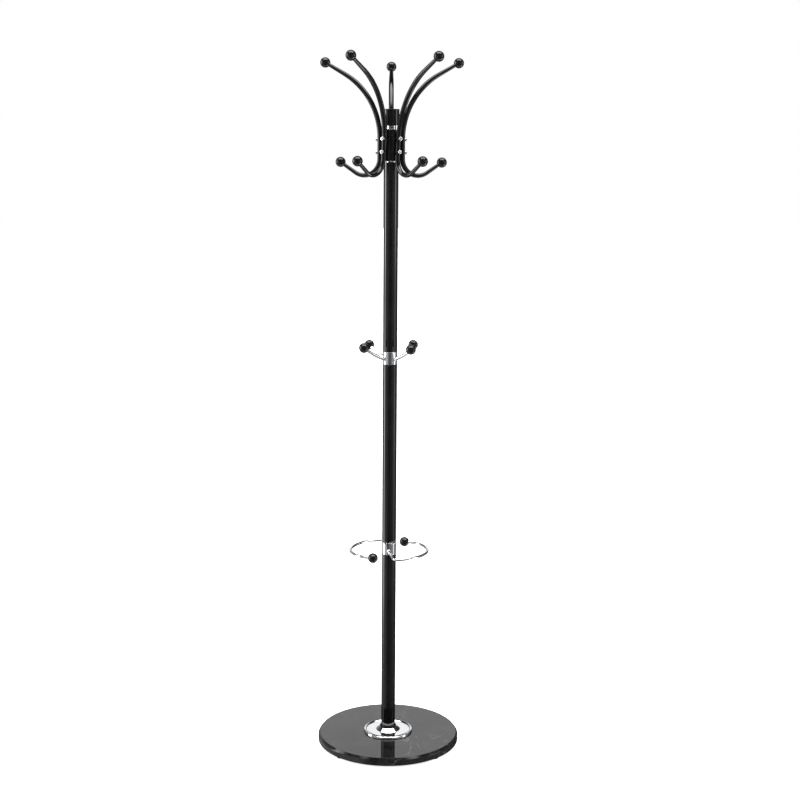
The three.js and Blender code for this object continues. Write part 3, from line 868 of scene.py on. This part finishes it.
def screw(segments=72):
    """A screw along Z, its seat at SCREW_SEAT: low rounded head, hexagon socket, threaded shank."""
    seat, face = SCREW_SEAT, SCREW_SEAT + SCREW_HEAD_HEIGHT
    socket = hexagon(SCREW_SOCKET)
    mouth = hexagon(SCREW_SOCKET + 0.2 * MM)
    socket_floor = face - 1.9 * MM
    rows = [ring(0, SCREW_TIP, 1), ring(SCREW_SHANK - 0.5 * MM, SCREW_TIP, segments)]
    rows += thread(SCREW_SHANK, SCREW_PITCH, SCREW_TIP + 0.6 * MM, SCREW_TIP + 9 * MM, segments)
    rows += [ring(SCREW_SHANK, SCREW_TIP + 9.6 * MM, segments), ring(SCREW_SHANK, seat, segments)]
    rows += [ring(SCREW_HEAD - 0.3 * MM, seat, segments), ring(SCREW_HEAD, seat + 0.3 * MM, segments)]
    shoulder = face - 1.1 * MM
    steps = 6
    for k in range(steps + 1):
        turn = math.radians(80) * k / steps
        reach = SCREW_HEAD - SCREW_ROUND * (1 - math.cos(turn))
        rows.append(ring(reach, shoulder + SCREW_ROUND * math.sin(turn), segments))
    rows += [ring(mouth, face, segments), ring(socket, face - 0.3 * MM, segments)]
    rows += [ring(socket, socket_floor, segments), ring(0, socket_floor - 0.4 * MM, 1)]
    return skin(rows, closed=False)


def saddle_washer(segments=64):
    """A thin washer under a screw head, hollowed below to sit on the round tube."""
    bore, rim = SCREW_SHANK + FIT_GAP, SCREW_HEAD - 0.8 * MM
    top = SCREW_SEAT - WASHER_GAP
    edge = 0.2 * MM
    rows = []
    for radius in (bore, (bore + rim) / 2, rim):
        row = ring(radius, 0, segments)
        for point in row:
            point.z = HOOK_REACH + math.sqrt((HOOK_TUBE + WASHER_GAP) ** 2 - point.y ** 2)
        rows.append(row)
    rows += [ring(rim, top - edge, segments), ring(rim - edge, top, segments), ring(bore, top, segments)]
    return skin(rows, closed=True)


def add_crown_hooks():
    path = hook_path()
    neck = HOOK_TUBE * SWAGE_RATIO
    ends = []
    for distance, sign in ((0, -1), (path.length, 1)):
        position, heading = path.at(distance)
        outward = sign * cmath.exp(1j * heading)
        centre = position + BALL_INSET * outward
        ends.append((Vector((centre.real, 0, centre.imag)), Vector((outward.real, 0, outward.imag))))
    for i in range(len(HOOK_AZIMUTHS)):
        place = hook_place(i)
        node = f"crown_hook_{i + 1}"
        tube = combine(hook_tube(path), [radial_drill(height) for height in screw_heights], "DIFFERENCE")
        add_piece(f"{node}_fine", tube, "black_enamel", "crown", node, place)
        for letter, height in zip("ab", screw_heights):
            seat = place @ Matrix.Translation((0, 0, height)) @ TO_RADIAL
            node = f"hook_screw_{i + 1}{letter}"
            add_piece(f"{node}_fine", screw(), "steel", "crown", node, seat)
            add_piece(f"hook_washer_{i + 1}{letter}", saddle_washer(), "steel", "crown", place=seat)
        for level, (centre, outward) in zip(("lower", "upper"), ends):
            add_ball(f"{level}_ball_{i + 1}", place @ centre, place.to_3x3() @ outward, neck, "crown")


def boss(height):
    """A spacer that stands on the sleeve along the X axis, its end hollowed to seat the hook's tube."""
    root = CROWN_RADIUS - 0.6 * CROWN_WALL
    end = CROWN_RADIUS + BOSS_HEIGHT + BOSS_SADDLE
    body = turned([(0, root), (BOSS_RADIUS, root), (BOSS_RADIUS, end), (0, end)], 48)
    body.transform(TO_RADIAL)
    seat, reach = HOOK_TUBE + FIT_GAP, 2 * BOSS_RADIUS
    hollow = turned([(0, -reach), (seat, -reach), (seat, reach), (0, reach)])
    hollow.transform(Matrix.Translation((HOOK_REACH, 0, 0)))
    body = combine(body, [hollow], "DIFFERENCE")
    body.transform(Matrix.Translation((0, 0, height)))
    return body


def add_sleeve():
    def at_screws(make):
        tools = []
        for i in range(len(HOOK_AZIMUTHS)):
            for height in screw_heights:
                tools.append(make(height))
                tools[-1].transform(hook_place(i))
        return tools

    shell = tube_shell("crown_sleeve", CROWN_RADIUS, CROWN_WALL)
    bossed = combine(shell, at_screws(boss), "UNION")
    drilled = combine(bossed, at_screws(radial_drill), "DIFFERENCE")
    add_piece("crown_sleeve_fine", drilled, "black_enamel", "crown", "crown_sleeve")


# ---- Middle hooks and umbrella rings -------------------------------------------------------

MIDDLE_HOOKS = [(44, 14.8), (131, 13.6), (216, 17.6), (310, 16)]  # azimuth and starting slope, degrees
MIDDLE_ROD = 4.5 * MM
MIDDLE_START_DROP = 2.3 * MM
MIDDLE_ROOT = 1.5 * MM  # how far inside the collar's surface the path starts
MIDDLE_BEND = (221 * MM, 18.8)
RING_ROD = 4 * MM
RING_AZIMUTH, RING_HEADING = 267, 280
RING_ROOT = 2 * MM
RING_LEG = 70.5 * MM
RING_TIGHT_BEND = 15 * MM
RING_ARC = (102.5 * MM, 97)
RING_CLOSING = (70 * MM, 44)
RING_END = 14 * MM


def add_rod(kind, index, path, radius, place):
    """A chromed rod welded to its collar, and the ball on its free end."""
    node = f"{kind}_{index}"
    add_piece(f"{node}_fine", welded_rod(path, radius, place), "chrome", node=node)
    _, heading = path.at(path.length)
    outward = Vector((math.cos(heading), math.sin(heading), 0))
    centre = place @ (centre_point(path, path.length) + BALL_INSET * outward)
    ball_node = f"{kind.split('_')[0]}_ball_{index}"
    add_ball(ball_node, centre, place.to_3x3() @ outward, radius, "stand")


def add_middle_hooks():
    start = middle_height("hook_collar") - MIDDLE_START_DROP
    for i, (azimuth, slope) in enumerate(MIDDLE_HOOKS):
        path = BentPath((POLE_RADIUS - MIDDLE_ROOT, start), slope, [MIDDLE_BEND])
        place = Matrix.Rotation(math.radians(azimuth), 4, "Z") @ STAND_UP
        add_rod("middle_hook", i + 1, path, MIDDLE_ROD, place)


def add_umbrella_rings():
    heading = math.radians(RING_HEADING)
    start = cmath.rect(POLE_RADIUS - RING_ROOT, math.radians(RING_AZIMUTH))
    bend_centre = start + (RING_LEG + 1j * RING_TIGHT_BEND) * cmath.exp(1j * heading)
    tight_turn = math.degrees(cmath.phase(bend_centre)) % 360 + 90 - RING_HEADING
    path = BentPath((start.real, start.imag), RING_HEADING, [
        RING_LEG, (RING_TIGHT_BEND, tight_turn), RING_ARC, RING_CLOSING, RING_END])
    level = Matrix.Translation((0, 0, middle_height("umbrella_ring_1")))
    for i in range(2):
        add_rod("umbrella_ring", i + 1, path, RING_ROD, Matrix.Rotation(math.pi * i, 4, "Z") @ level)


# ---- Studio --------------------------------------------------------------------------------

FLOOR_RADIUS = 40.0
FLOOR_GLOW = 0.8  # a lit floor, so that it stays white right up to the base
# Soft boxes: azimuth of the middle from the front (right is positive), half width and soft edge, and
# (elevation, strength) points. All angles are in degrees. They are, in order, the tall box at the
# left, its wide glow, the one at the right, its glow, a low box at the right, and the pale ground.
SOFT_BOXES = [
    (-92, 4.5, 7, [(-22, 0), (-20, 0.7), (-18.5, 2.2), (-17.3, 6), (-8, 7), (-6.5, 4.6),
                   (-4.5, 4.6), (-2.5, 9), (14, 9), (30, 4), (44, 0)]),
    (-95, 35, 50, [(-72, 0.45), (10, 0.45), (19, 0.14), (46, 0)]),
    (80, 4, 7, [(-21, 0), (-17, 0.6), (-10, 2.1), (-8, 1.3), (-6, 1), (-4.5, 1.4),
                (-2.2, 3.4), (-1, 4.2), (0.5, 2.4), (16, 2.4), (40, 0)]),
    (75, 20, 50, [(-72, 0.15), (-14, 0.15), (-6, 0.35), (10, 0.35), (19, 0.08), (46, 0)]),
    (95, 8, 6, [(-68, 0), (-60, 6.5), (-31, 6.5), (-27, 0)]),
    (0, 180, 1, [(-90, 0.9), (-74, 0.9), (-62, 0)]),
]
# The white backdrop that the polished base mirrors: half width, soft edge, strengths.
BACKDROP = (14, 14, [(6, 0), (14, 1), (34, 1), (44, 0)])
# The light overhead: its middle and half width sideways with their soft edge, as shares of the
# height, and its strengths from the front (0) over the top (90) to the back.
TOP_LIGHT = (0.06, 0.58, 0.32, [(56, 0), (65, 6.5), (98, 6.5), (106, 0)])
ROOM = (0.08, 0.03)  # brightness towards the front and towards the back
LOWEST_LIGHT = 0.05  # the least height that the overhead light's sideways place is divided by


def soft_box(nodes, position, centre, half, soft, along, strengths):
    """The strength of a box of light with soft sides, which changes along it."""
    offset = nodes.math("ABSOLUTE", nodes.math("SUBTRACT", position, centre))
    across = nodes.fade(offset, half, half + soft, 1.0, 0.0)
    return nodes.math("MULTIPLY", across, nodes.profile(along, strengths))


def add_world():
    """The studio's lights, drawn on the world, and the white backdrop that only the camera sees."""
    world = bpy.data.worlds.new("studio")
    bpy.context.scene.world = world
    world.use_nodes = True
    nodes = Nodes(world.node_tree)
    background = world.node_tree.nodes["Background"]
    direction = nodes.add("ShaderNodeTexCoord").outputs["Generated"]
    parts = nodes.add("ShaderNodeSeparateXYZ", {0: direction}).outputs
    toward_front = nodes.math("MULTIPLY", parts["Y"], -1.0)
    azimuth = nodes.math("DEGREES", nodes.math("ARCTAN2", parts["X"], toward_front))
    elevation = nodes.math("DEGREES", nodes.math("ARCSINE", parts["Z"]))

    panels = [soft_box(nodes, azimuth, centre, half, soft, elevation, strengths)
              for centre, half, soft, strengths in SOFT_BOXES]
    half, soft, strengths = BACKDROP
    behind = nodes.math("ABSOLUTE", azimuth)
    panels.append(soft_box(nodes, behind, 180, half, soft, elevation, strengths))
    middle, half, soft, strengths = TOP_LIGHT
    over = nodes.math("DEGREES", nodes.math("ARCTAN2", parts["Z"], toward_front))
    sideways = nodes.math("DIVIDE", parts["X"], nodes.math("MAXIMUM", parts["Z"], LOWEST_LIGHT))
    panels.append(soft_box(nodes, sideways, middle, half, soft, over, strengths))
    total = nodes.fade(toward_front, 1.0, -0.4, *ROOM)
    for panel in panels:
        total = nodes.math("ADD", total, panel)

    # The backdrop that the camera sees is plain white.
    seen = nodes.add("ShaderNodeLightPath").outputs["Is Camera Ray"]
    shown = nodes.add("ShaderNodeMix", {"Factor": seen, "A": total, "B": 1.0}, data_type="FLOAT")
    nodes.tree.links.new(shown.outputs["Result"], background.inputs["Strength"])
    background.inputs["Color"].default_value = (1, 1, 1, 1)


def add_floor():
    material, nodes, shader, place = new_material("pale_floor", grey(0.9), Roughness=0.9,
                                                  Emission_Color=grey(1), Emission_Strength=FLOOR_GLOW)
    shade = nodes.noise(place, 3, detail=2)
    link(nodes, shader, Base_Color=nodes.mix(shade, grey(0.88), grey(0.92)))
    mesh = bmesh.new()
    bmesh.ops.create_circle(mesh, cap_ends=True, segments=96, radius=FLOOR_RADIUS)
    data = bpy.data.meshes.new("floor")
    mesh.to_mesh(data)
    mesh.free()
    data.materials.append(material)
    floor = bpy.data.objects.new("floor", data)
    bpy.context.scene.collection.objects.link(floor)
    floor.visible_glossy = False  # polished pieces mirror the studio, not the sheet they stand on


# ---- The whole rack ------------------------------------------------------------------------

add_camera()
add_marble()
add_feet()
add_dish()
add_foot_ring()
add_bolt()
add_pole()
add_studs()
add_spindle()
add_bush()
add_crown_trim()
add_sleeve()
add_crown_hooks()
add_middle_hooks()
add_umbrella_rings()
add_world()
add_floor()
bpy.context.scene.view_settings.view_transform = "Standard"
